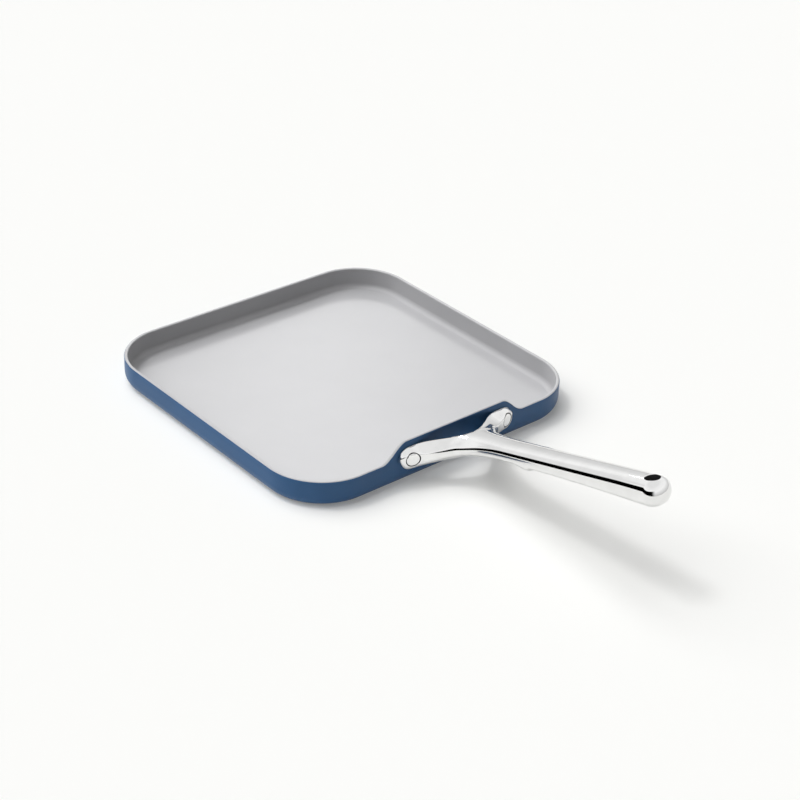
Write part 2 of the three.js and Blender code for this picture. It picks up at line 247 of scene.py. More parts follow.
class ShapeTree(Graph):
    """A Geometry Nodes tree with named inputs, which makes a plain mesh each time it is run."""

    KINDS = {
        "Float": float,
        "Int": int,
        "Vector": tuple,
        "Object": bpy.types.Object,
        "Material": bpy.types.Material,
    }

    def __init__(self, name: str, values: Dict[str, Any]) -> None:
        """Makes the tree's inputs and its one geometry output.

        Args:
            name: The tree's name.
            values: A value for each named input, which shows the kind of socket that it needs.
        """
        super().__init__(bpy.data.node_groups.new(name, "GeometryNodeTree"))
        for label, value in values.items():
            kind = next(kind for kind, held in self.KINDS.items() if isinstance(value, held))
            self.tree.interface.new_socket(label, in_out="INPUT", socket_type=f"NodeSocket{kind}")
        self.tree.interface.new_socket("Geometry", in_out="OUTPUT", socket_type="NodeSocketGeometry")
        self.inputs = self.node("NodeGroupInput")

    def given(self, label: str) -> Wire:
        """The wire from a named input."""
        return self.inputs.other(label)

    def profile(self) -> Wire:
        """The curve of the object that the input named Profile holds."""
        sockets = {"Object": self.given("Profile")}
        return self.node("GeometryNodeObjectInfo", sockets=sockets, output="Geometry")

    def merged(self, geometry: Wire, distance: float) -> Wire:
        """The geometry with points that lie closer together than a distance made one."""
        sockets = {"Geometry": geometry, "Distance": distance}
        return self.node("GeometryNodeMergeByDistance", sockets=sockets)

    def swept(self, path: Wire) -> Wire:
        """Sweeps the profile along a path, upright all the way.

        Args:
            path: The curve to follow.

        Returns:
            The swept mesh.
        """
        upright = self.node("GeometryNodeSetCurveNormal", {"mode": "Z_UP"}, {"Curve": path})
        sockets = {"Curve": upright, "Profile Curve": self.profile()}
        return self.node("GeometryNodeCurveToMesh", sockets=sockets)

    def end(self, geometry: Wire) -> None:
        """Realizes instances, sets the material and hands the geometry out.

        Args:
            geometry: What the tree has made.
        """
        real = self.node("GeometryNodeRealizeInstances", sockets={"Geometry": geometry})
        sockets = {"Geometry": real, "Material": self.given("Material")}
        dressed = self.node("GeometryNodeSetMaterial", sockets=sockets)
        self.node("NodeGroupOutput", sockets={"Geometry": dressed})

    def run(self, name: str, values: Dict[str, Any]) -> bpy.types.Object:
        """Evaluates the tree with its inputs set.

        Args:
            name: The name of the new object.
            values: A value for each named input.

        Returns:
            A plain mesh object.
        """
        piece = add_object(name, bpy.data.meshes.new(name))
        modifier = piece.modifiers.new(name, "NODES")
        modifier.node_group = self.tree
        for item in self.tree.interface.items_tree:
            if item.in_out == "INPUT":
                modifier[item.identifier] = values[item.name]
        make_plain(piece)
        return piece


# Mesh helpers


def add_object(name: str, data: bpy.types.ID) -> bpy.types.Object:
    """Links a new object with this data to the scene.

    Args:
        name: The object's name.
        data: Its mesh, curve, light or camera.

    Returns:
        The object.
    """
    made = bpy.data.objects.new(name, data)
    bpy.context.scene.collection.objects.link(made)
    return made


def make_plain(piece: bpy.types.Object) -> None:
    """Turns an object's modifiers into a plain mesh and removes them.

    Args:
        piece: The object.
    """
    graph = bpy.context.evaluated_depsgraph_get()
    mesh = bpy.data.meshes.new_from_object(piece.evaluated_get(graph))
    piece.modifiers.clear()
    piece.data = mesh
    mesh.name = piece.name


def profile_curve(points: Sequence[Point]) -> bpy.types.Object:
    """A curve of straight stretches, to sweep along a path.

    Args:
        points: Points of the profile, each with its distance out from the path and its height.

    Returns:
        The curve's object.
    """
    curve = bpy.data.curves.new("profile", "CURVE")
    curve.dimensions = "3D"
    spline = curve.splines.new("POLY")
    spline.points.add(len(points) - 1)
    for spot, (out, up) in zip(spline.points, points):
        spot.co = (out, -up, 0, 1)
    return add_object("profile", curve)


def arc(centre: Point, radius: float, start: float, end: float, steps: int) -> List[Point]:
    """Points on an arc between two angles in degrees."""
    angles = np.radians(np.linspace(start, end, steps + 1))
    return [(centre[0] + radius * math.cos(a), centre[1] + radius * math.sin(a)) for a in angles]


def mesh_from(name: str, points: np.ndarray, faces: Sequence[Sequence[int]]) -> bpy.types.Mesh:
    """A mesh with doubles merged, empty faces dropped and every face turned outwards.

    Args:
        name: The mesh's name.
        points: The corners, one in each row.
        faces: The faces, by the numbers of their corners.

    Returns:
        The mesh.
    """
    mesh = bpy.data.meshes.new(name)
    mesh.from_pydata(points.tolist(), [], faces)
    form = bmesh.new()
    form.from_mesh(mesh)
    bmesh.ops.remove_doubles(form, verts=form.verts, dist=MERGE_DISTANCE)
    bmesh.ops.dissolve_degenerate(form, dist=MERGE_DISTANCE, edges=form.edges)
    bmesh.ops.recalc_face_normals(form, faces=form.faces)
    form.to_mesh(mesh)
    form.free()
    return mesh


def grid_faces(rows: int, columns: int, start: int = 0) -> List[Tuple[int, int, int, int]]:
    """Quads over a grid of points that are numbered row by row.

    Args:
        rows: How many rows of points there are.
        columns: How many points are in a row.
        start: The number of the first point.

    Returns:
        The quads.
    """
    faces = []
    for row in range(rows - 1):
        for column in range(columns - 1):
            first = start + row * columns + column
            faces.append((first, first + 1, first + columns + 1, first + columns))
    return faces


def turned(name: str, profile: Sequence[Point], steps: int, place: Matrix) -> bpy.types.Object:
    """A solid turned about its own Z axis.

    Args:
        name: The object's name.
        profile: Points of radius and height, which start and end on the axis.
        steps: How many steps a full turn has.
        place: Where the solid's own axes lie.

    Returns:
        The solid.
    """
    angles = np.linspace(0, 2 * math.pi, steps + 1)
    radii, heights = np.array(profile).T
    points = np.stack(
        [
            np.outer(np.cos(angles), radii),
            np.outer(np.sin(angles), radii),
            np.outer(np.ones_like(angles), heights),
        ],
        axis=-1,
    ).reshape(-1, 3)
    mesh = mesh_from(name, points, grid_faces(steps + 1, len(profile)))
    mesh.transform(place)
    return add_object(name, mesh)


def cut_away(piece: bpy.types.Object, cutters: Sequence[bpy.types.Object]) -> None:
    """Cuts solids out of a piece and removes the cutters.

    Args:
        piece: The piece to cut.
        cutters: The solids to take out of it.
    """
    for cutter in cutters:
        modifier = piece.modifiers.new("cut", "BOOLEAN")
        modifier.operation = "DIFFERENCE"
        modifier.solver = "EXACT"
        modifier.object = cutter
    make_plain(piece)
    for cutter in cutters:
        bpy.data.objects.remove(cutter)


def smooth(piece: bpy.types.Object) -> None:
    """Shades a piece smooth, with its real edges left sharp."""
    piece.data.shade_smooth()
    piece.data.set_sharp_from_angle(angle=CREASE_ANGLE)


def seat(piece: bpy.types.Object, slot: str, *nodes: str) -> None:
    """Lets a finished piece stand for its solids on the one body, and reports it.

    Args:
        piece: The finished piece.
        slot: The name of its material slot, which is not used.
        nodes: The solids that it stands for.
    """
    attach(piece, BODY)
    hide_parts(*nodes)
    triangles = sum(len(face.vertices) - 2 for face in piece.data.polygons)
    LOG.info("%s: %d triangles", piece.name, triangles)


def ease(value: np.ndarray, start: float, end: float) -> np.ndarray:
    """A smooth step from 0 at the start to 1 at the end."""
    share = np.clip((value - start) / (end - start), 0, 1)
    return share * share * (3 - 2 * share)


def mix(a: Any, b: Any, share: Any) -> Any:
    """The value a share of the way from one value to another."""
    return a + (b - a) * share


def coming_to_rest(share: np.ndarray) -> np.ndarray:
    """A share that starts evenly and comes to rest at 1."""
    return share + share**2 - share**3


def stations(front: np.ndarray, back_along: Any, back_across: Any, back_upright: Any) -> np.ndarray:
    """Rows of a front point, a back point and how upright the back stands, one for each front point."""
    columns = np.broadcast_arrays(front[:, 0], front[:, 1], back_along, back_across, back_upright)
    return np.stack(columns, axis=1)


def bezier(corners: Sequence[Point], share: np.ndarray) -> np.ndarray:
    """Points of a cubic curve.

    Args:
        corners: The curve's start, its two pulls and its end.
        share: Shares of the way along the curve.

    Returns:
        One point for each share.
    """
    a, b, c, d = (np.array(corner) for corner in corners)
    t = np.asarray(share)[:, None]
    return (1 - t) ** 3 * a + 3 * (1 - t) ** 2 * t * b + 3 * (1 - t) * t * t * c + t**3 * d


# Finishes


class Surface(Graph):
    """A material with one Principled shader, its patterns read in Object coordinates."""

    def __init__(self, name: str) -> None:
        """Makes the material and its shader.

        Args:
            name: The material's name.
        """
        self.material = bpy.data.materials.new(name)
        self.material.use_nodes = True
        super().__init__(self.material.node_tree)
        self.shader = self.node("ShaderNodeBsdfPrincipled")
        self.output = self.node("ShaderNodeOutputMaterial", sockets={"Surface": self.shader})
        self.place = self.node("ShaderNodeTexCoord", output="Object")

    def set(self, **sockets: Any) -> None:
        """Feeds the shader's sockets, with spaces in their names written as underscores."""
        for label, value in sockets.items():
            self.feed(self.shader.node.inputs[label.replace("_", " ")], value)

    def noise(self, size: float, detail: float = 2.0, stretch: Sequence[float] = (1, 1, 1)) -> Wire:
        """Soft noise about 0.5.

        Args:
            size: The length of one feature, in metres.
            detail: How many finer layers it has.
            stretch: How much longer features are along each axis.

        Returns:
            The noise value.
        """
        scale = [1 / (size * length) for length in stretch]
        place = self.node("ShaderNodeMapping", sockets={"Vector": self.place, "Scale": scale})
        return self.node("ShaderNodeTexNoise", sockets={"Vector": place, "Scale": 1.0, "Detail": detail})

    def blend(self, share: Any, first: Union[Colour, Wire], second: Colour) -> Wire:
        """A colour between two others.

        Args:
            share: How far along the way from the first to the second it lies.
            first: A colour, or a wire that carries one.
            second: The other colour.

        Returns:
            The colour.
        """
        start = first if isinstance(first, Wire) else (*first, 1)
        sockets = {0: share, 6: start, 7: (*second, 1)}
        return self.node("ShaderNodeMix", {"data_type": "RGBA"}, sockets, output=2)

    def bump(self, height: Wire, depth: float) -> Wire:
        """A bumped normal from a height between 0 and 1 and the depth that it stands for."""
        sockets = {"Strength": 1.0, "Distance": depth, "Height": height}
        return self.node("ShaderNodeBump", sockets=sockets)


class Finish(ABC):
    """A finish that can make its material."""

    @abstractmethod
    def material(self) -> bpy.types.Material:
        """Builds the material."""


@dataclass(frozen=True)
class NavyEnamel(Finish):
    """Satin navy enamel with a faint orange peel, slightly lighter where it pooled thin."""

    deep: Colour = (0.026, 0.095, 0.225)
    thin: Colour = (0.035, 0.117, 0.265)
    roughness: float = 0.42
    gloss: float = 0.27
    roughness_spread: float = 0.08
    pool_size: float = 38 * MM
    pool_range: Tuple[float, float] = (0.3, 0.7)
    pool_share: float = 0.7
    grain_size: float = 0.35 * MM
    peel_size: float = 1.6 * MM
    peel_depth: float = 0.012 * MM

    def material(self) -> bpy.types.Material:
        """Builds the enamel.

        Returns:
            The material.
        """
        surface = Surface("navy_enamel")
        pool = surface.noise(self.pool_size, detail=3)
        grain = surface.noise(self.grain_size, detail=1)
        share = pool.ramp(*self.pool_range) * self.pool_share + grain * (1 - self.pool_share)
        surface.set(
            Base_Color=surface.blend(share, self.deep, self.thin),
            Roughness=self.roughness + self.roughness_spread * (pool + grain - 1),
            Normal=surface.bump(surface.noise(self.peel_size), self.peel_depth),
            Specular_IOR_Level=self.gloss,
        )
        return surface.material


@dataclass(frozen=True)
class CeramicCoat(Finish):
    """Pale grey sprayed ceramic: satin, with a fine fleck and a barely uneven film."""

    base: Colour = (0.455, 0.455, 0.467)
    light: Colour = (0.482, 0.482, 0.494)
    fleck_colour: Colour = (0.405, 0.405, 0.417)
    fleck_share: float = 0.35
    roughness: float = 0.44
    roughness_spread: float = 0.06
    glaze: float = 0.5
    glaze_roughness: float = 0.4
    cloud_size: float = 55 * MM
    cloud_range: Tuple[float, float] = (0.3, 0.7)
    fleck_size: float = 0.55 * MM
    fleck_range: Tuple[float, float] = (0.58, 0.72)
    fleck_height: float = 0.3
    film_size: float = 2.4 * MM
    film_depth: float = 0.01 * MM

    def material(self) -> bpy.types.Material:
        """Builds the coat.

        Returns:
            The material.
        """
        surface = Surface("ceramic_coat")
        cloud = surface.noise(self.cloud_size, detail=3)
        fleck = surface.noise(self.fleck_size, detail=1)
        film = surface.noise(self.film_size) + self.fleck_height * fleck
        ground = surface.blend(cloud.ramp(*self.cloud_range), self.base, self.light)
        share = fleck.ramp(*self.fleck_range) * self.fleck_share
        surface.set(
            Base_Color=surface.blend(share, ground, self.fleck_colour),
            Roughness=self.roughness + self.roughness_spread * (cloud + fleck - 1),
            Normal=surface.bump(film, self.film_depth),
            Coat_Weight=self.glaze,
            Coat_Roughness=self.glaze_roughness,
        )
        return surface.material


@dataclass(frozen=True)
class PaintedShadeRing:
    """A round groove or bore that the steel paints dark as painted shade, on both sides of the handle's
    middle.

    The lean is the angle by which its axis leans back from upright.
    """

    centre: Tuple[float, float, float]
    lean: float
    inner: float
    outer: float
    starts_at: float

    def mask(self, surface: Surface) -> Wire:
        """A mask of the ring of painted shade.

        Args:
            surface: The material that it is for.

        Returns:
            1 in the ring, and 0 elsewhere.
        """
        x, y, z = surface.split(surface.place)
        ahead, aside, above = self.centre
        across = abs(y) - aside
        along = (x - ahead) * math.cos(self.lean) + (z - above) * math.sin(self.lean)
        radius = surface.math("SQRT", across * across + along * along)
        return (x > self.starts_at) * (radius > self.inner) * (radius < self.outer)


@dataclass(frozen=True)
class PolishedSteel(Finish):
    """Polished stainless steel with fine lines along the handle and faint smears, and painted shade in its
    grooves and bores.
    """

    painted_shade: Tuple[PaintedShadeRing, ...]
    name: str = "polished_steel"
    # Painted shade: black, dull and not metal, in the grooves and bores that the rings mark.
    painted_shade_colour: Colour = (0.02, 0.02, 0.022)
    painted_shade_roughness: float = 0.5
    bright: Colour = (0.83, 0.83, 0.825)
    dull: Colour = (0.77, 0.77, 0.765)
    roughness: float = 0.045
    roughness_spread: float = 0.05
    smear_size: float = 14 * MM
    dull_range: Tuple[float, float] = (0.35, 0.75)
    rough_range: Tuple[float, float] = (0.45, 0.8)
    line_size: float = 0.5 * MM
    line_stretch: Tuple[float, float, float] = (40, 1, 1)
    line_depth: float = 0.0004 * MM
    line_share: float = 0.3

    def material(self) -> bpy.types.Material:
        """Builds the steel.

        Returns:
            The material.
        """
        surface = Surface(self.name)
        smear = surface.noise(self.smear_size, detail=3)
        lines = surface.noise(self.line_size, stretch=self.line_stretch)
        # Painted shade, 1 in the grooves round the discs and in the hanging hole's wall.
        painted_shade = sum(ring.mask(surface) for ring in self.painted_shade)
        steel = surface.blend(smear.ramp(*self.dull_range), self.bright, self.dull)
        wear = smear.ramp(*self.rough_range) + self.line_share * lines
        roughness = self.roughness + self.roughness_spread * wear
        surface.set(
            Metallic=1 - painted_shade,
            Base_Color=surface.blend(painted_shade, steel, self.painted_shade_colour),
            Roughness=roughness + (self.painted_shade_roughness - self.roughness) * painted_shade,
            Normal=surface.bump(lines, self.line_depth),
        )
        return surface.material


# Pan


@dataclass
class Rivets:
    """Two solid rivets: a domed head inside the pan, a shank and a disc ground flush with the lobe."""

    wall_face: float
    offset: float
    height: float
    head_reach: float
    disc_face: float = 7.26 * MM
    shank_diameter: float = 6.5 * MM
    clearance: float = 0.3 * MM
    disc_diameter: float = 10.2 * MM
    disc_thickness: float = 2.5 * MM
    disc_chamfer: float = 0.2 * MM
    recess_gap: float = 0.7 * MM
    groove_margin: float = 0.025 * MM
    head_diameter: float = 13 * MM
    head_edge: float = 0.8 * MM
    steps: int = 96
    dome_steps: int = 14
    face_steps: int = 8
    spin_radius: float = 1 * MM

    @property
    def disc_seat(self) -> float:
        """Where the disc sits in the lobe, out from the wall's face."""
        return self.disc_face - self.disc_thickness

    @property
    def groove(self) -> PaintedShadeRing:
        """The ring of painted shade round each disc, a hair wider than the gap on both sides.

        Returns:
            The ring.
        """
        inner = self.disc_diameter / 2 - self.groove_margin
        outer = self.disc_diameter / 2 + self.recess_gap + self.groove_margin
        centre = (self.wall_face, self.offset, self.height)
        return PaintedShadeRing(centre, math.pi / 2, inner, outer, self.wall_face)

    def outline(self, head_seat: float) -> List[Point]:
        """Half of a rivet's outline.

        Args:
            head_seat: How far inside the wall's face the head sits.

        Returns:
            Points of radius and length, from the top of the dome to the middle of the disc.
        """
        head = self.head_diameter / 2
        disc = self.disc_diameter / 2
        shank = self.shank_diameter / 2
        rise = self.head_reach - head_seat - self.head_edge
        dome = [
            (head * math.sin(a), -head_seat - self.head_edge - rise * math.cos(a))
            for a in np.linspace(0, math.pi / 2, self.dome_steps + 1)
        ]
        flat = disc - self.disc_chamfer
        face = [(share * flat, self.disc_face) for share in np.linspace(1, 0, self.face_steps + 1)]
        return [
            *dome,
            (head, -head_seat),
            (shank, -head_seat),
            (shank, self.disc_seat),
            (disc, self.disc_seat),
            (disc, self.disc_face - self.disc_chamfer),
            *face,
        ]

    def axis(self, side: Side) -> Matrix:
        """The place of a rivet's axis, with its own Z axis out of the wall along +X."""
        spot = Vector((self.wall_face, side.value * self.offset, self.height))
        return Matrix.Translation(spot) @ Matrix.Rotation(math.pi / 2, 4, "Y")

    def cutters(self, radius: float, start: float, end: float) -> List[bpy.types.Object]:
        """Round cutters on the axes of both rivets, between two distances out from the wall's face."""
        outline = [(0, start), (radius, start), (radius, end), (0, end)]
        return [turned("cutter", outline, self.steps, self.axis(side)) for side in Side]

    def bores(self, end: float) -> List[bpy.types.Object]:
        """Cutters for both shanks, from behind the heads to a distance out from the wall's face."""
        return self.cutters(self.shank_diameter / 2 + self.clearance, -self.head_reach, end)

    def recesses(self, end: float) -> List[bpy.types.Object]:
        """Cutters for the round recesses that take the discs."""
        return self.cutters(self.disc_diameter / 2 + self.recess_gap, self.disc_seat, end)

    def grind(self, piece: bpy.types.Object, lobes: BVHTree) -> None:
        """Moves the discs' faces along the rivets until they are flush with the lobes.

        Args:
            piece: The piece with both rivets.
            lobes: The surface of the handle before its recesses are cut.
        """
        face = self.wall_face + self.disc_face
        for vertex in piece.data.vertices:
            if vertex.co.x > face - self.disc_thickness / 2:
                start = Vector((face + self.disc_diameter, vertex.co.y, vertex.co.z))
                vertex.co.x += lobes.ray_cast(start, Vector((-1, 0, 0)))[0].x - face

    def build(self, head_seat: float, lobes: BVHTree, finish: Finish) -> None:
        """Turns one rivet in a node tree, sets it in both lobes and grinds the discs flush.

        Args:
            head_seat: How far inside the wall's face the heads sit.
            lobes: The surface of the handle before its recesses are cut.
            finish: The rivets' finish.
        """
        profile = profile_curve([(r - self.spin_radius, up) for r, up in self.outline(head_seat)])
        values = {
            "Profile": profile,
            "Spin Radius": self.spin_radius,
            "Spin Steps": self.steps,
            "First Place": (self.wall_face, -self.offset, self.height),
            "Step": (0, 2 * self.offset, 0),
            "Turn": (0, math.pi / 2, 0),
            "Crease Angle": CREASE_ANGLE,
            "Material": finish.material(),
        }
        tree = ShapeTree("rivet_pair", values)
        ring = tree.node(
            "GeometryNodeCurvePrimitiveCircle",
            sockets={"Resolution": tree.given("Spin Steps"), "Radius": tree.given("Spin Radius")},
        )
        closed = tree.merged(tree.swept(ring), MERGE_DISTANCE)
        sharp = tree.node("GeometryNodeInputMeshEdgeAngle") > tree.given("Crease Angle")
        sockets = {"Geometry": closed, "Selection": sharp, "Shade Smooth": False}
        creased = tree.node("GeometryNodeSetShadeSmooth", {"domain": "EDGE"}, sockets)
        first, step = tree.given("First Place"), tree.given("Step")
        sockets = {"Count": len(Side), "Start Location": first, "Offset": step}
        places = tree.node("GeometryNodeMeshLine", sockets=sockets)
        sockets = {"Points": places, "Instance": creased, "Rotation": tree.given("Turn")}
        tree.end(tree.node("GeometryNodeInstanceOnPoints", sockets=sockets))
        piece = tree.run("rivet_pair", values)
        bpy.data.objects.remove(profile)
        self.grind(piece, lobes)
        smooth(piece)
        seat(piece, "rivets", "rivet_left", "rivet_right")


@dataclass
class Pan:
    """The cast pan and its lining: one wall profile each, swept round a square with rounded corners."""

    width: float
    tab_top: float
    rivets: Rivets
    corner_radius: float = 49.2 * MM
    rim_height: float = 23 * MM
    base_edge_radius: float = 9.9 * MM
    wall_thickness: float = 3.2 * MM
    floor_thickness: float = 4.5 * MM
    inner_edge_radius: float = 5 * MM
    rim_round: float = 1.3 * MM
    lining_ends_at: float = 135
    lining_thickness: float = 0.5 * MM
    lining_bond: float = 0.05 * MM
    tab_beside_rivets: float = 0.8 * MM
    tab_shoulder: float = 22.4 * MM
    corner_steps: int = 28
    side_cuts: int = 300
    fillet_steps: int = 14
    rim_steps: int = 6
    tree: Optional[ShapeTree] = field(default=None, init=False)

    def inside(self, depth: float) -> List[Point]:
        """The inside of the pan, at a depth below its surface.

        Args:
            depth: How far the line lies below the surface.

        Returns:
            Points of inset and height, over the rim, down the wall and on to the floor.
        """
        rim = self.rim_round - depth
        top = self.rim_height - self.rim_round
        radius = self.inner_edge_radius
        edge = (self.wall_thickness + radius, self.floor_thickness + radius)
        return [
            *arc((self.rim_round, top), rim, self.lining_ends_at, 90, self.rim_steps),
            *arc((self.wall_thickness - self.rim_round, top), rim, 90, 0, self.rim_steps),
            *arc(edge, radius + depth, 180, 270, self.fillet_steps),
        ]

    def outside(self) -> List[Point]:
        """The outside of the pan, from the base's flat up to the lining's edge.

        Returns:
            Points of inset and height.
        """
        base = (self.base_edge_radius, self.base_edge_radius)
        rim = (self.rim_round, self.rim_height - self.rim_round)
        return [
            *arc(base, self.base_edge_radius, 270, 180, self.fillet_steps),
            *arc(rim, self.rim_round, 180, self.lining_ends_at, self.rim_steps),
        ]

    def sweep_tree(self, values: Dict[str, Any]) -> ShapeTree:
        """A tree that sweeps a wall profile round the pan, closes both ends and raises the tab.

        Args:
            values: A value for each of the tree's inputs.

        Returns:
            The tree.
        """
        tree = ShapeTree("swept_shell", values)
        x, y, z = tree.split(tree.node("GeometryNodeInputPosition"))
        width = tree.given("Width")
        sockets = {"Width": width, "Height": width}
        square = tree.node("GeometryNodeCurvePrimitiveQuadrilateral", sockets=sockets)
        rounded = tree.node(
            "GeometryNodeFilletCurve",
            {"mode": "POLY"},
            {"Curve": square, "Count": tree.given("Corner Steps"), "Radius": tree.given("Corner Radius")},
        )
        handle_side = (x > width / 2 - SEAM_DISTANCE) * (y < 0.0)
        sockets = {"Curve": rounded, "Cuts": handle_side * tree.given("Side Cuts")}
        wall = tree.swept(tree.node("GeometryNodeSubdivideCurve", sockets=sockets))
        open_edge = tree.node("GeometryNodeInputMeshEdgeNeighbors") < 2
        under, floor = tree.given("Under Height"), tree.given("Floor Height")
        halfway = (under + floor) / 2
        under_cap = self._cap(tree, wall, open_edge * (z < halfway), under)
        floor_cap = self._cap(tree, wall, open_edge * (z > halfway), floor)
        flipped = tree.node("GeometryNodeFlipFaces", sockets={"Mesh": under_cap})
        sockets = {"Geometry": [wall, flipped, floor_cap]}
        closed = tree.merged(tree.node("GeometryNodeJoinGeometry", sockets=sockets), SEAM_DISTANCE)
        half = tree.given("Tab Half Width")
        fall = abs(y).ramp(half, half + tree.given("Tab Shoulder"), smooth=True)
        stretch = z.ramp(tree.given("Wall Foot"), tree.given("Wall Top"))
        lift = stretch * (1 - fall) * tree.given("Tab Rise")
        sockets = {"Geometry": closed, "Selection": x > 0.0, "Offset": tree.vector(z=lift)}
        tree.end(tree.node("GeometryNodeSetPosition", sockets=sockets))
        return tree

    @staticmethod
    def _cap(tree: ShapeTree, wall: Wire, edges: Wire, height: Wire) -> Wire:
        """A flat face over one open end of the swept wall.

        Args:
            tree: The tree to add to.
            wall: The swept wall.
            edges: Which edges bound the open end.
            height: How high the face lies.

        Returns:
            The face.
        """
        ring = tree.node("GeometryNodeMeshToCurve", sockets={"Mesh": wall, "Selection": edges})
        flat = tree.node("GeometryNodeFillCurve", {"mode": "NGONS"}, {"Curve": ring})
        sockets = {"Geometry": flat, "Offset": tree.vector(z=height)}
        return tree.node("GeometryNodeSetPosition", sockets=sockets)

    def sweep(self, name: str, node: str, points: Sequence[Point], finish: Finish) -> None:
        """Sweeps one profile round the pan and bores it for the rivets.

        Args:
            name: The piece's name.
            node: The name of the solid that it stands for.
            points: The profile as inset and height.
            finish: The piece's finish.
        """
        profile = profile_curve([(-inset, height) for inset, height in points])
        ends = sorted((points[0][1], points[-1][1]))
        values = {
            "Profile": profile,
            "Width": self.width,
            "Corner Radius": self.corner_radius,
            "Corner Steps": self.corner_steps,
            "Side Cuts": self.side_cuts,
            "Under Height": ends[0],
            "Floor Height": ends[1],
            "Wall Foot": self.floor_thickness + self.inner_edge_radius,
            "Wall Top": self.rim_height - self.rim_round,
            "Tab Rise": self.tab_top - self.rim_height,
            "Tab Half Width": self.rivets.offset + self.tab_beside_rivets,
            "Tab Shoulder": self.tab_shoulder,
            "Material": finish.material(),
        }
        self.tree = self.tree or self.sweep_tree(values)
        piece = self.tree.run(name, values)
        bpy.data.objects.remove(profile)
        cut_away(piece, self.rivets.bores(self.rivets.disc_seat))
        smooth(piece)
        seat(piece, node, node)

    def build(self, outer: Finish, inner: Finish) -> None:
        """Builds the cast body and its lining.

        Args:
            outer: The body's finish.
            inner: The lining's finish.
        """
        body = [*self.outside(), *self.inside(self.lining_thickness + self.lining_bond)]
        self.sweep("enamelled_body", "pan_body", body, outer)
        lining = [*reversed(self.inside(self.lining_thickness)), *self.inside(0)]
        self.sweep("ceramic_coat", "ceramic_lining", lining, inner)


# Handle


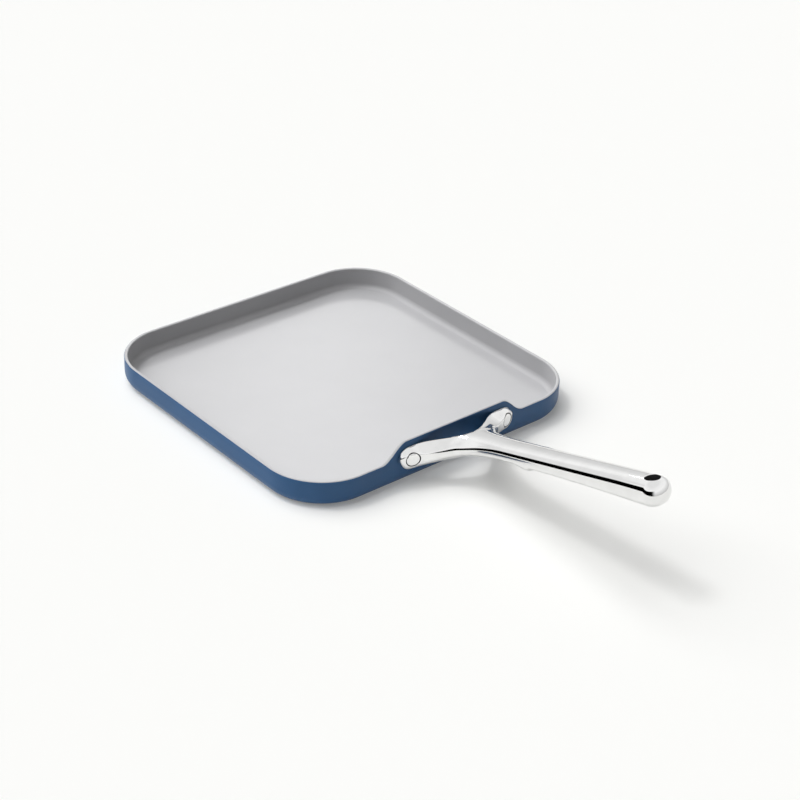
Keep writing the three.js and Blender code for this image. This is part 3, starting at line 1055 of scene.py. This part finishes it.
@dataclass
class ForkedHandle:
    """The forked handle: two lobes on the wall, arms that join in a neck, a grip and a hanging hole.

    Lengths run along the slope from the wall, and lifts stand square to the slope from the line that starts
    at the rivets.
    """

    rivets: Rivets
    slope: float = math.radians(16.25)
    lobe_depth: float = 6.2 * MM
    lobe_end_depth: float = 2.4 * MM
    lobe_end_length: float = 9.4 * MM
    lobe_flat_length: float = 5 * MM
    lobe_top: float = 7.4 * MM
    lobe_bottom: float = -10.3 * MM
    lobe_widest_at: float = -1.4 * MM
    lobe_closing_from: float = 0.65 * MM
    lobe_end_power: float = 1.8
    arm_splay: float = math.radians(15.2)
    arm_pull: float = 28.4 * MM
    arm_share: float = 0.643
    arm_upright_share: float = 0.5
    window_depth: float = 20.1 * MM
    window_setback: float = 6 * MM
    window_round: float = 1.2 * MM
    window_round_share: float = 0.25
    window_power: float = 3.5
    neck_at: float = 64.2 * MM
    neck_width: float = 25.7 * MM
    neck_pull: float = 38.8 * MM
    neck_top: float = 6.3 * MM
    neck_bottom: float = -6.6 * MM
    neck_widest_at: float = -1 * MM
    stop_at: float = 90 * MM
    stop_length: float = 14 * MM
    stop_drop: float = 2.3 * MM
    stop_fade: float = 6 * MM
    grip_bottom: float = -7.6 * MM
    grip_bend: float = 1.72
    end_at: float = 209.1 * MM
    end_length: float = 9.55 * MM
    end_width: float = 25.1 * MM
    end_top: float = 7.32 * MM
    end_bottom: float = -13.4 * MM
    end_widest_at: float = -3.3 * MM
    hole_at: float = 208 * MM
    hole_diameter: float = 11.4 * MM
    hole_edge_radius: float = 1.2 * MM
    hole_edge_turn: float = 60
    hole_margin: float = 0.075 * MM
    bore_overlap: float = 0.6 * MM
    round_share: float = 0.94
    rounding_ends_at: float = 18.2 * MM
    lobe_power: float = 4.5
    lobe_tilt: float = 0.42
    arm_tilt: float = 0.66
    disc_ends_at: float = 7.8 * MM
    tilt_full_at: float = 11.5 * MM
    tilt_ends_at: float = 27 * MM
    arm_power: float = 2.33
    end_power: float = 2.1
    lobe_steps: int = 24
    arm_steps: int = 80
    neck_steps: int = 40
    grip_steps: int = 110
    end_steps: int = 36
    hole_edge_steps: int = 8
    section_steps: int = 72
    window_steps: int = 16

    @property
    def window_half(self) -> float:
        """Half the width of the fork's window at the wall."""
        return self.rivets.offset - self.window_setback

    def share_to_end(self, along: np.ndarray, start: float) -> np.ndarray:
        """Share of the way from one length along the handle to the start of its round end."""
        return np.clip((along - start) / (self.end_at - start), 0, 1)

    def top_at(self, along: np.ndarray) -> np.ndarray:
        """Lift of the top line at lengths along the handle."""
        neck = mix(self.lobe_top, self.neck_top, ease(along, self.lobe_depth, self.neck_at))
        return mix(neck, self.end_top, self.share_to_end(along, self.neck_at))

    def bottom_at(self, along: np.ndarray) -> np.ndarray:
        """Lift of the bottom line, with the small finger stop that hangs below it.

        Args:
            along: Lengths along the handle.

        Returns:
            The lift at each length.
        """
        neck = mix(self.lobe_bottom, self.neck_bottom, ease(along, self.lobe_depth, self.neck_at))
        share = self.share_to_end(along, self.stop_at) ** self.grip_bend
        grip = mix(self.grip_bottom, self.end_bottom, share)
        rise = ease(along, self.stop_at - self.stop_length, self.stop_at)
        fade = ease(along, self.stop_at, self.stop_at + self.stop_fade)
        return mix(neck, grip, rise) - self.stop_drop * rise * (1 - fade)

    def closing(self, across: np.ndarray) -> np.ndarray:
        """Share of the height that is left near a lobe's rounded end.

        Args:
            across: Distances from the handle's middle.

        Returns:
            The share at each distance.
        """
        length = self.lobe_end_length - self.lobe_closing_from
        past = np.clip((np.abs(across) - self.rivets.offset - self.lobe_closing_from) / length, 0, 1)
        return (1 - past**self.lobe_end_power) ** (1 / self.lobe_end_power)

    def lift_at(self, along: np.ndarray, across: np.ndarray, height: np.ndarray) -> np.ndarray:
        """Lift of points that lie at a share of the handle's height.

        Args:
            along: Lengths along the handle.
            across: Distances from its middle.
            height: Shares of the height, from the bottom at -1 by the widest place at 0 to the top at 1.

        Returns:
            The lift of each point.
        """
        limit = np.where(height < 0, self.bottom_at(along), self.top_at(along))
        arm = mix(self.lobe_widest_at, self.neck_widest_at, ease(along, self.lobe_depth, self.neck_at))
        widest = mix(arm, self.end_widest_at, self.share_to_end(along, self.neck_at))
        return mix(widest, limit, np.abs(height)) * self.closing(across)

    def points(self, along: np.ndarray, across: np.ndarray, lift: np.ndarray, upright: Any) -> np.ndarray:
        """Points in the frame, from lengths, distances across and lifts.

        Args:
            along: Lengths along the handle.
            across: Distances from its middle.
            lift: Lifts from the line that starts at the rivets.
            upright: How the lift stands, from square to the slope at 0 to straight up at 1.

        Returns:
            The points.
        """
        depth = along * math.cos(self.slope) - (1 - upright) * lift * math.sin(self.slope)
        height = self.rivets.height + depth * math.tan(self.slope) + lift / math.cos(self.slope)
        return np.stack(np.broadcast_arrays(self.rivets.wall_face + depth, across, height), axis=-1)

    def lobe_stations(self) -> np.ndarray:
        """Stations round a lobe's end.

        Returns:
            Rows of a front point, a back point and how upright the back stands.
        """
        reach = self.rivets.offset + self.lobe_end_length
        front, ahead = self.arm_start()
        corner = (
            (self.lobe_end_depth, reach),
            ((self.lobe_end_depth + self.lobe_depth) / 2, reach),
            front - ahead * (reach - front[1]) / 2,
            front,
        )
        fronts = bezier(corner, np.arange(self.lobe_steps) / self.lobe_steps)
        return stations(fronts, 0.0, fronts[:, 1], 1.0)

    def arm_start(self) -> Tuple[np.ndarray, np.ndarray]:
        """Where an arm's front leaves its lobe, and the direction that it leaves in."""
        front = np.array((self.lobe_depth, self.rivets.offset + self.lobe_flat_length))
        return front, np.array((math.sin(self.arm_splay), -math.cos(self.arm_splay)))

    def arm_front(self, share: np.ndarray) -> np.ndarray:
        """The outer side of an arm in plan.

        Args:
            share: Shares of the way from the lobe to the neck.

        Returns:
            One point for each share.
        """
        front, ahead = self.arm_start()
        neck = np.array((self.neck_at, self.neck_width / 2))
        corners = (front, front + ahead * self.arm_pull, neck - (self.neck_pull, 0), neck)
        return bezier(corners, share)

    def arm_stations(self) -> np.ndarray:
        """Stations along an arm, with their backs on the fork window's bell-shaped edge.

        Returns:
            Rows of a front point, a back point and how upright the back stands.
        """
        share = np.arange(self.arm_steps + 1) / self.arm_steps
        across = self.arm_start()[0][1] * (1 - coming_to_rest(share))
        bell = np.cos(math.pi / 2 * np.clip(across / self.window_half, 0, 1)) ** 2
        fronts = self.arm_front(share * self.arm_share)
        return stations(fronts, self.window_depth * bell, across, 1.0)

    def neck_stations(self) -> np.ndarray:
        """Stations along the neck, with their backs on the middle line.

        Returns:
            Rows of a front point, a back point and how upright the back stands.
        """
        share = np.arange(1, self.neck_steps + 1) / self.neck_steps
        crotch = self.window_depth + self.window_round
        along = mix(self.neck_at, crotch, coming_to_rest(1 - share))
        fronts = self.arm_front(mix(self.arm_share, 1, share))
        return stations(fronts, along, 0.0, 1 - ease(share, 0, 1))

    def grip_stations(self) -> np.ndarray:
        """Stations along the grip and round its end.

        Returns:
            Rows of a front point, a back point and how upright the back stands.
        """
        share = np.arange(1, self.grip_steps + 1) / self.grip_steps
        along = mix(self.neck_at, self.end_at, share)
        across = mix(self.neck_width, self.end_width, share) / 2
        grip = stations(np.stack([along, across], 1), along, 0.0, 0.0)
        turn = math.pi / 2 * (1 - np.arange(1, self.end_steps + 1) / self.end_steps)
        reach = self.end_at + self.end_length * np.cos(turn)
        round_end = np.stack([reach, self.end_width / 2 * np.sin(turn)], 1)
        return np.concatenate([grip, stations(round_end, self.end_at, 0.0, 0.0)])

    @staticmethod
    def edge(steps: int, power: Any, tilt: Any = 0.0) -> Tuple[np.ndarray, np.ndarray]:
        """Shares of the way in and of the height on a rounded edge, from its top to its bottom.

        Args:
            steps: How many steps the edge has.
            power: How square the rounding is, from 2 for an ellipse.
            tilt: The share of the height by which the top falls from the back to the front.

        Returns:
            The shares of the way in, and the shares of the height from 1 to -1.
        """
        share = 1 - 2 * np.arange(steps + 1) / steps
        angle = share * math.pi / 2
        inward = 1 - np.abs(np.cos(angle)) ** (2 / power)
        height = np.sign(share) * np.abs(np.sin(angle)) ** (2 / power)
        return inward, np.where(share > 0, height * (1 - tilt * (1 - inward)), height)

    def half(self) -> Tuple[np.ndarray, List[Tuple[int, int, int, int]]]:
        """The half on the +Y side, open along the middle.

        Returns:
            Its points and its quads.
        """
        open_part = np.concatenate([self.lobe_stations(), self.arm_stations()])
        rows = np.concatenate([open_part, self.neck_stations(), self.grip_stations()])
        along, across, back_along, back_across, back_upright = np.hsplit(rows, rows.shape[1])
        rounding = ease(along, self.lobe_depth, self.rounding_ends_at)
        power = mix(self.lobe_power, self.arm_power, rounding)
        endward = ease(along, self.end_at - self.end_width, self.end_at + self.end_length)
        tilt = mix(self.lobe_tilt, self.arm_tilt, ease(along, self.disc_ends_at, self.tilt_full_at))
        tilt = tilt * (1 - ease(along, self.tilt_full_at, self.tilt_ends_at))
        inward, height = self.edge(self.section_steps, mix(power, self.end_power, endward), tilt)
        share = inward * self.round_share
        front_upright = ease(across, self.window_half * self.arm_upright_share, self.rivets.offset)
        upright = mix(front_upright, back_upright, share)
        spot = mix(along, back_along, share)
        lift = self.lift_at(spot, across, height)
        outer = self.points(spot, mix(across, back_across, share), lift, upright)
        width = np.hypot(along - back_along, across - back_across)
        window = np.minimum(self.window_round, width * self.window_round_share)
        window[len(open_part) :] = 0
        inward, height = self.edge(self.window_steps, self.window_power)
        lift = self.lift_at(back_along, back_across, height)
        inner = self.points(back_along + inward * window, back_across, lift, back_upright)
        chain = np.concatenate([inner[:, :1], outer, inner[:, -1:]], axis=1)
        edge = inner[: len(open_part)]
        points = np.concatenate([chain.reshape(-1, 3), edge.reshape(-1, 3)])
        count = chain.shape[0] * chain.shape[1]
        return points, grid_faces(*chain.shape[:2]) + grid_faces(*edge.shape[:2], start=count)

    @property
    def hole_centre(self) -> np.ndarray:
        """The middle of the hanging hole."""
        return self.points(np.array(self.hole_at), np.array(0.0), np.array(0.0), 0)

    def hole_cutter(self) -> bpy.types.Object:
        """A cutter for the hanging hole, square to the slope, with its edges eased.

        Returns:
            The cutter.
        """
        edge, turn, steps = self.hole_edge_radius, self.hole_edge_turn, self.hole_edge_steps
        wide = self.hole_diameter / 2 + edge
        reach = self.end_width
        outline = [
            (0, self.end_bottom - reach),
            (wide, self.end_bottom - reach),
            *arc((wide, self.end_bottom + edge), edge, 180 + turn, 180, steps),
            *arc((wide, self.end_top - edge), edge, 180, 180 - turn, steps),
            (wide, self.end_top + reach),
            (0, self.end_top + reach),
        ]
        place = Matrix.Translation(Vector(self.hole_centre)) @ Matrix.Rotation(-self.slope, 4, "Y")
        return turned("hole", outline, self.rivets.steps, place)

    def bore(self) -> PaintedShadeRing:
        """The wall of the hanging hole, which gets painted shade."""
        outer = self.hole_diameter / 2 + self.hole_margin
        return PaintedShadeRing(tuple(self.hole_centre), self.slope, 0.0, outer, self.rivets.wall_face)

    def loft(self) -> Tuple[np.ndarray, List[Tuple[int, ...]]]:
        """Both halves, before the holes are cut.

        Returns:
            The points and the quads.
        """
        points, faces = self.half()
        flipped = [tuple(index + len(points) for index in reversed(quad)) for quad in faces]
        return np.concatenate([points, points * (1, -1, 1)]), faces + flipped

    def surface(self) -> BVHTree:
        """The handle's surface for finding where its faces lie."""
        points, faces = self.loft()
        return BVHTree.FromPolygons(points.tolist(), faces)

    def build(self, finish: Finish) -> None:
        """Lofts the handle, cuts its holes and dresses it.

        Args:
            finish: The handle's finish.
        """
        piece = add_object("forked_handle", mesh_from("forked_handle", *self.loft()))
        bores = self.rivets.bores(self.rivets.disc_seat + self.bore_overlap)
        cut_away(piece, [self.hole_cutter(), *bores, *self.rivets.recesses(self.neck_at)])
        smooth(piece)
        piece.data.materials.append(finish.material())
        seat(piece, "handle", "handle")


# Studio


def reflected_card(mesh: bpy.types.Mesh, surface: Surface, tone: Any) -> None:
    """Sets up a glowing card that nothing but reflections can see.

    Args:
        mesh: The card's shape, with the card's name.
        surface: The card's material.
        tone: The card's glow, as a wire or a colour: black at 0, and white from 1.
    """
    surface.set(Base_Color=(0, 0, 0, 1), Specular_IOR_Level=0.0)
    surface.set(Emission_Color=tone, Emission_Strength=1.0)
    card = add_object(mesh.name, mesh)
    card.data.materials.append(surface.material)
    for rays in Rays:
        setattr(card, rays.value, rays is Rays.REFLECTION)


@dataclass
class Surround:
    """The room that the steel mirrors, on one round card: pale, with a dimmer panel and a black flag.

    Turns are degrees round the handle from the far end of the pan, and rises are degrees above the floor.
    """

    centre: float = 230 * MM
    level: float = 60 * MM
    radius: float = 3.0
    height: float = 6.4
    steps: int = 96
    low_tone: float = 0.64
    middle_tone: float = 1.08
    high_tone: float = 1.02
    overhead: float = 0.93
    middle_rise: float = 25
    high_rise: float = 45
    top_rise: float = 62
    panel_dimming: float = 0.16
    panel_from: Tuple[float, float] = (-15, 3)
    panel_to: Tuple[float, float] = (25, 36)
    panel_top: Tuple[float, float] = (30, 35)
    flag_from: Tuple[float, float] = (11, 19)
    flag_to: Tuple[float, float] = (138, 165)
    flag_low_end: Tuple[float, float] = (35, 21.1)
    flag_high_end: Tuple[float, float] = (120, 30)
    flag_softness: float = 0.5

    @staticmethod
    def between(value: Wire, start: Tuple[float, float], end: Tuple[float, float]) -> Wire:
        """1 between two soft edges, each with the values where it begins and ends, and 0 outside them."""
        return value.ramp(*start, smooth=True) * (1 - value.ramp(*end, smooth=True))

    def tone(self, surface: Surface) -> Wire:
        """How bright the room is, over its turns and rises.

        Args:
            surface: The card's material.

        Returns:
            The tone: black at 0, and white from 1.
        """
        x, y, z = surface.split(surface.place)
        turn = surface.math("ARCTAN2", y * -1, self.centre - x) * math.degrees(1)
        rise = surface.math("ARCTANGENT", (z - self.level) / self.radius) * math.degrees(1)
        tone = mix(self.low_tone, self.middle_tone, rise.ramp(0, self.middle_rise))
        tone = tone + (self.high_tone - self.middle_tone) * rise.ramp(self.middle_rise, self.high_rise)
        overhead = rise.ramp(self.high_rise, self.top_rise, smooth=True)
        tone = tone + (self.overhead - self.high_tone) * overhead
        panel = self.between(turn, self.panel_from, self.panel_to)
        panel = panel * (1 - rise.ramp(*self.panel_top, smooth=True))
        (low_turn, low_rise), (high_turn, high_rise) = self.flag_low_end, self.flag_high_end
        top = mix(low_rise, high_rise, turn.ramp(low_turn, high_turn))
        flag = self.between(turn, self.flag_from, self.flag_to)
        flag = flag * (1 - rise.ramp(top - self.flag_softness, top + self.flag_softness))
        return tone * (1 - self.panel_dimming * panel) * (1 - flag)

    def build(self) -> None:
        """Stands the card round the handle."""
        angles = np.linspace(0, 2 * math.pi, self.steps + 1)
        x = self.centre + self.radius * np.cos(angles)
        y = self.radius * np.sin(angles)
        rings = [np.stack([x, y, np.full_like(x, z)], 1) for z in (0, self.height)]
        mesh = mesh_from("surround", np.concatenate(rings), grid_faces(len(rings), self.steps + 1))
        surface = Surface("surround")
        reflected_card(mesh, surface, self.tone(surface))


@dataclass
class Softbox:
    """A bright card behind the pan that gives the ceramic its sheen."""

    middle: Tuple[float, float, float] = (-1.33, 0.99, 1.14)
    width: float = 0.4
    height: float = 0.34
    tone: float = 14.0

    def build(self) -> None:
        """Hangs the card, turned to the middle of the pan."""
        middle = Vector(self.middle)
        side = Vector((-middle.y, middle.x, 0)).normalized() * self.width / 2
        up = middle.cross(side).normalized() * self.height / 2
        low, high = middle - up, middle + up
        corners = np.array([low - side, low + side, high + side, high - side])
        mesh = mesh_from("softbox", corners, [range(len(corners))])
        reflected_card(mesh, Surface("softbox"), (self.tone, self.tone, self.tone, 1))


@dataclass
class Studio:
    """A pale floor, the camera, and a narrow and a broad light from the camera's upper left."""

    azimuth: float = math.radians(48.9419)
    elevation: float = math.radians(30.4958)
    roll: float = math.radians(2.2514)
    distance: float = 1527.358 * MM
    aim_right: float = 48.9959 * MM
    aim_up: float = -7.4653 * MM
    lens: float = 83.951
    sensor: float = 36
    floor_size: float = 30.0
    floor_drop: float = 0.05 * MM
    floor_colour: Colour = (0.97, 0.97, 0.955)
    shown_floor: Colour = (1.0, 1.0, 0.975)
    floor_glow: float = 0.2
    key_from: Tuple[float, float, float] = (-0.33, -0.28, 0.90)
    key_strength: float = 0.68
    key_spread: float = math.radians(13)
    broad_from: Tuple[float, float, float] = (-0.40, -0.30, 0.87)
    broad_strength: float = 2.75
    broad_spread: float = math.radians(75)
    fill: float = 0.045
    shown_white: float = 1.0

    def camera(self) -> None:
        """Sets the camera at the photograph's angle."""
        back = Vector(
            (
                math.sin(self.azimuth) * math.cos(self.elevation),
                -math.cos(self.azimuth) * math.cos(self.elevation),
                math.sin(self.elevation),
            )
        )
        right = Vector((math.cos(self.azimuth), math.sin(self.azimuth), 0))
        up = back.cross(right)
        target = right * self.aim_right + up * self.aim_up
        data = bpy.data.cameras.new("camera")
        data.lens = self.lens
        data.sensor_width = self.sensor
        camera = add_object("camera", data)
        turn = Matrix((right, up, back)).transposed() @ Matrix.Rotation(self.roll, 3, "Z")
        camera.matrix_world = Matrix.Translation(target + back * self.distance) @ turn.to_4x4()
        bpy.context.scene.camera = camera

    def floor(self) -> None:
        """Lays the pale floor a hair below the pan. It glows a little where it is seen or mirrored."""
        half = self.floor_size / 2
        sides = [(-half, -half), (half, -half), (half, half), (-half, half)]
        corners = np.array([(x, y, -self.floor_drop) for x, y in sides])
        floor = add_object("floor", mesh_from("floor", corners, [range(len(corners))]))
        surface = Surface("floor_paper")
        surface.set(Base_Color=(*self.floor_colour, 1), Roughness=1.0, Specular_IOR_Level=0.0)
        shown = surface.met_by("Camera", "Glossy", "Transmission")
        sockets = {"Color": (*self.shown_floor, 1), "Strength": 1.0}
        white = surface.node("ShaderNodeEmission", sockets=sockets)
        sockets = {0: shown * self.floor_glow, 1: surface.shader, 2: white}
        mixed = surface.node("ShaderNodeMixShader", sockets=sockets)
        surface.feed(surface.output.node.inputs["Surface"], mixed)
        floor.data.materials.append(surface.material)

    @staticmethod
    def sun(name: str, towards: Tuple[float, float, float], strength: float, spread: float) -> None:
        """Hangs one soft light that reflections don't see.

        Args:
            name: The light's name.
            towards: The direction from the pan to the light.
            strength: How bright it is.
            spread: The angle over which its rays spread.
        """
        data = bpy.data.lights.new(name, "SUN")
        data.energy = strength
        data.angle = spread
        lamp = add_object(name, data)
        lamp.matrix_world = Vector(towards).to_track_quat("Z", "Y").to_matrix().to_4x4()
        lamp.visible_glossy = False

    def lights(self, surround: Surround) -> None:
        """Hangs the lights and sets the world, which is white to the camera and closes the room overhead.

        Args:
            surround: The room that the steel mirrors.
        """
        self.sun("key", self.key_from, self.key_strength, self.key_spread)
        self.sun("broad", self.broad_from, self.broad_strength, self.broad_spread)
        world = bpy.data.worlds.new("studio")
        world.use_nodes = True
        bpy.context.scene.world = world
        graph = Graph(world.node_tree)
        strength = mix(self.fill, self.shown_white, graph.met_by("Camera", "Transmission"))
        strength = strength + (surround.overhead - self.fill) * graph.met_by("Glossy")
        sockets = {"Color": (1, 1, 1, 1), "Strength": strength}
        light = graph.node("ShaderNodeBackground", sockets=sockets)
        graph.node("ShaderNodeOutputWorld", sockets={"Surface": light})

    def build(self) -> None:
        """Sets up the camera, the floor, the lights and the cards."""
        bpy.context.scene.view_settings.view_transform = "Standard"
        self.camera()
        self.floor()
        surround = Surround()
        self.lights(surround)
        surround.build()
        Softbox().build()


def main() -> None:
    """Builds the pan, the rivets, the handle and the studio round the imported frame."""
    logging.basicConfig(level=logging.INFO, format="%(name)s %(message)s")
    body_low, body_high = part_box("pan_body")
    rivet_low, rivet_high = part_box("rivet_right")
    wall_face = body_high.x
    rivets = Rivets(
        wall_face=wall_face,
        offset=(rivet_low.y + rivet_high.y) / 2,
        height=(rivet_low.z + rivet_high.z) / 2,
        head_reach=wall_face - rivet_low.x,
    )
    pan = Pan(width=body_high.x - body_low.x, tab_top=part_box("ceramic_lining")[1].z, rivets=rivets)
    pan.build(NavyEnamel(), CeramicCoat())
    handle = ForkedHandle(rivets)
    # The rivet steel gets painted shade in the grooves round the discs, and the handle's steel there and in
    # the hanging hole's wall.
    disc_steel = PolishedSteel((rivets.groove,), name="rivet_steel", roughness=0.12)
    rivets.build(pan.wall_thickness, handle.surface(), disc_steel)
    handle.build(PolishedSteel((rivets.groove, handle.bore())))
    Studio().build()


if __name__ == "__main__":
    main()
